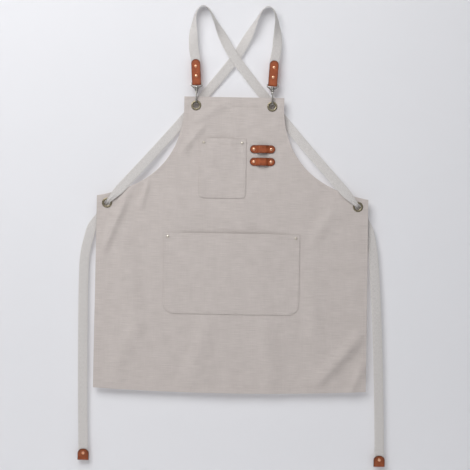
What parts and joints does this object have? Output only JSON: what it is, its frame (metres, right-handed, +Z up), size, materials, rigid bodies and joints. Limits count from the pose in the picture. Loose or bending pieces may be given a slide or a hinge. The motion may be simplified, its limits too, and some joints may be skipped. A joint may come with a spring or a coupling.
{
  "type": "apron",
  "caption": "Cross-back canvas apron hung by its strap loops, with snap hooks, grommets, patch pockets, leather keepers and waist ties.",
  "frame": {"origin": "midway between the two places where the strap loops bear on their pegs", "axes": "+X to the right seen from the front, +Y from front to back, +Z up"},
  "size_m": [0.7896, 0.0291, 1.1746],
  "materials": {
    "canvas": "plain-woven linen and cotton canvas, greige, with slubs",
    "webbing": "herringbone cotton webbing, slightly greener than the canvas",
    "leather": "tan vegetable leather, satin, with darker burnished edges",
    "copper_rivet": "polished pale copper plating",
    "antique_brass": "antique brass plating, darkened in the recesses",
    "dark_bronze": "dark bronze plating over cast metal, polished on the high places",
    "steel": "bright spring steel"
  },
  "bodies": {
    "root": {"apron_panel": "canvas", "armhole_binding_left": "canvas", "armhole_binding_right": "canvas", "grommet_patch_bib_left": "canvas", "grommet_patch_waist_left": "canvas", "grommet_patch_bib_right": "canvas", "grommet_patch_waist_right": "canvas", "grommet_bib_left": "antique_brass", "grommet_washer_bib_left": "antique_brass", "grommet_waist_left": "antique_brass", "grommet_washer_waist_left": "antique_brass", "grommet_bib_right": "antique_brass", "grommet_washer_bib_right": "antique_brass", "grommet_waist_right": "antique_brass", "grommet_washer_waist_right": "antique_brass", "chest_pocket": "canvas", "hand_pocket": "canvas", "chest_pocket_rivet_left": "antique_brass", "chest_pocket_rivet_right": "antique_brass", "hand_pocket_rivet_left": "antique_brass", "hand_pocket_rivet_right": "antique_brass", "keeper_strap_upper": "leather", "keeper_strap_lower": "leather", "keeper_rivet_upper_left": "copper_rivet", "keeper_rivet_upper_right": "copper_rivet", "keeper_rivet_lower_left": "copper_rivet", "keeper_rivet_lower_right": "copper_rivet", "shoulder_strap_left": "webbing", "shoulder_strap_right": "webbing", "strap_tab_left": "leather", "tab_rivet_left_lower": "copper_rivet", "tab_rivet_left_upper": "copper_rivet", "strap_tab_right": "leather", "tab_rivet_right_lower": "copper_rivet", "tab_rivet_right_upper": "copper_rivet", "waist_tie_left": "webbing", "tie_end_left": "leather", "tie_end_rivet_left": "copper_rivet", "waist_tie_right": "webbing", "tie_end_right": "leather", "tie_end_rivet_right": "copper_rivet"},
    "left_eye": {"swivel_eye_left": "dark_bronze"},
    "left_hook": {"hook_body_left": "dark_bronze", "gate_pin_left": "steel", "gate_spring_left": "steel"},
    "left_gate": {"gate_left": "dark_bronze"},
    "right_eye": {"swivel_eye_right": "dark_bronze"},
    "right_hook": {"hook_body_right": "dark_bronze", "gate_pin_right": "steel", "gate_spring_right": "steel"},
    "right_gate": {"gate_right": "dark_bronze"}
  },
  "joints": [
    {"name": "left_eye_tilt", "type": "hinge", "parent": "root", "child": "left_eye", "pos_m": [-0.097, 0.0018, -0.2015], "axis": [1, 0, 0], "range_deg": [-2, 2]},
    {"name": "left_hook_swivel", "type": "hinge", "parent": "left_eye", "child": "left_hook", "pos_m": [-0.097, 0.0018, -0.2137], "axis": [0, 0, 1], "range_deg": [-15, 15]},
    {"name": "left_gate_hinge", "type": "hinge", "parent": "left_hook", "child": "left_gate", "pos_m": [-0.097, 0.0099, -0.223], "axis": [1, 0, 0], "range_deg": [-35, 0], "stiffness_Nm_per_rad": 0.001, "springref_deg": 20.05},
    {"name": "right_eye_tilt", "type": "hinge", "parent": "root", "child": "right_eye", "pos_m": [0.097, 0.0018, -0.2015], "axis": [1, 0, 0], "range_deg": [-2, 2]},
    {"name": "right_hook_swivel", "type": "hinge", "parent": "right_eye", "child": "right_hook", "pos_m": [0.097, 0.0018, -0.2137], "axis": [0, 0, 1], "range_deg": [-15, 15]},
    {"name": "right_gate_hinge", "type": "hinge", "parent": "right_hook", "child": "right_gate", "pos_m": [0.097, 0.0099, -0.223], "axis": [1, 0, 0], "range_deg": [-35, 0], "stiffness_Nm_per_rad": 0.001, "springref_deg": 20.05}
  ]
}
